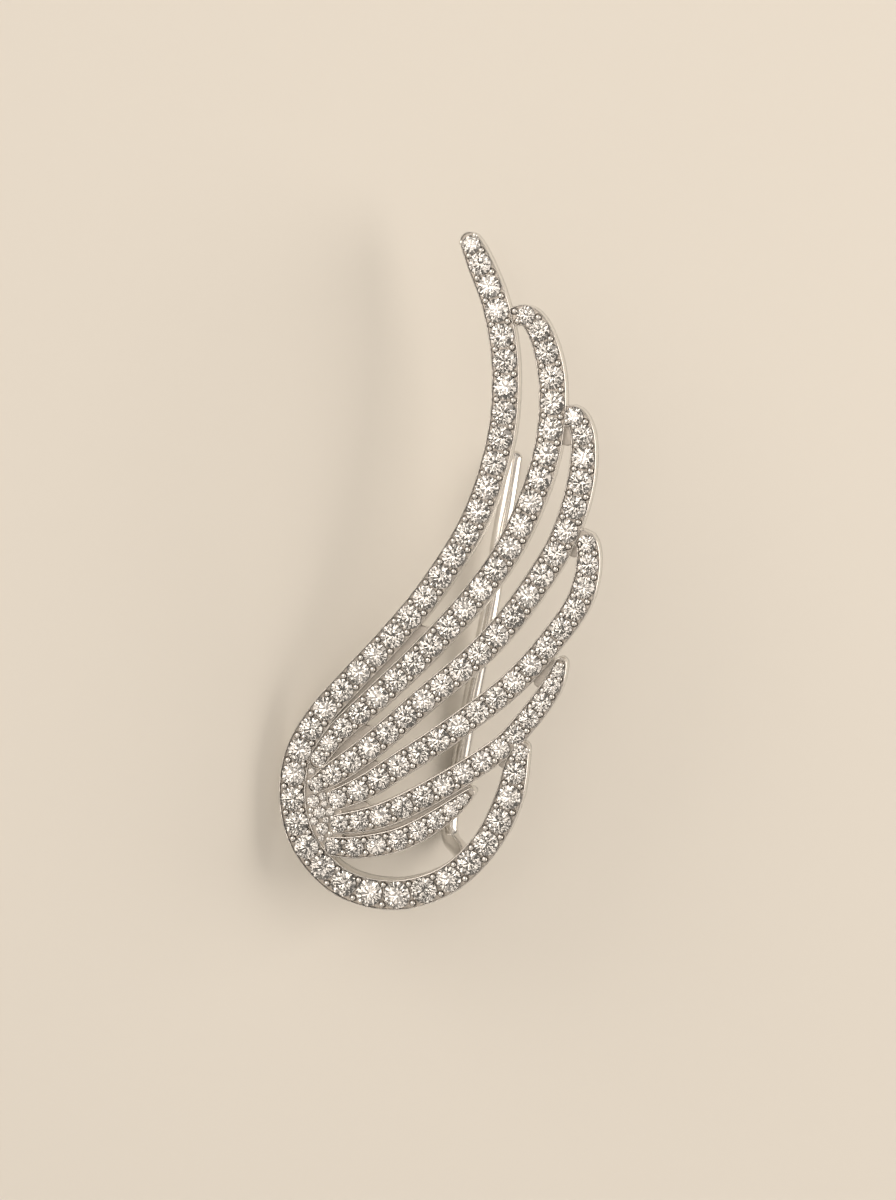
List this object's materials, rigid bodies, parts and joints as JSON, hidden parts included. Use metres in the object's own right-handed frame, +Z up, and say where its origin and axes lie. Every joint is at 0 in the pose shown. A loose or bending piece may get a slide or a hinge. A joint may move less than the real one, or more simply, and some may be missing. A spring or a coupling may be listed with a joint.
{
  "type": "ear climber",
  "caption": "Openwork wing ear climber of six stone-set bands with a loop at its foot and a bent ear wire behind, lying front up.",
  "frame": {"origin": "middle of the bounding box, on the surface that the jewel lies on", "axes": "+Z up, +Y along the wing towards its upper tip; the wing's front faces up and towards -X, 36 degrees from level"},
  "size_m": [0.0136, 0.0334, 0.0098],
  "materials": {
    "polished_silver": "polished sterling silver with bright rhodium plating",
    "pave_stones": "round brilliant-cut cubic zirconia, bead-set in polished silver"
  },
  "bodies": {
    "root": {"wing_frame_with_ear_wire": "polished_silver", "pave_leading_edge": "pave_stones", "pave_feather_2": "pave_stones", "pave_feather_3": "pave_stones", "pave_feather_4": "pave_stones", "pave_feather_5": "pave_stones", "pave_feather_6": "pave_stones", "pave_junction": "pave_stones"}
  },
  "joints": []
}
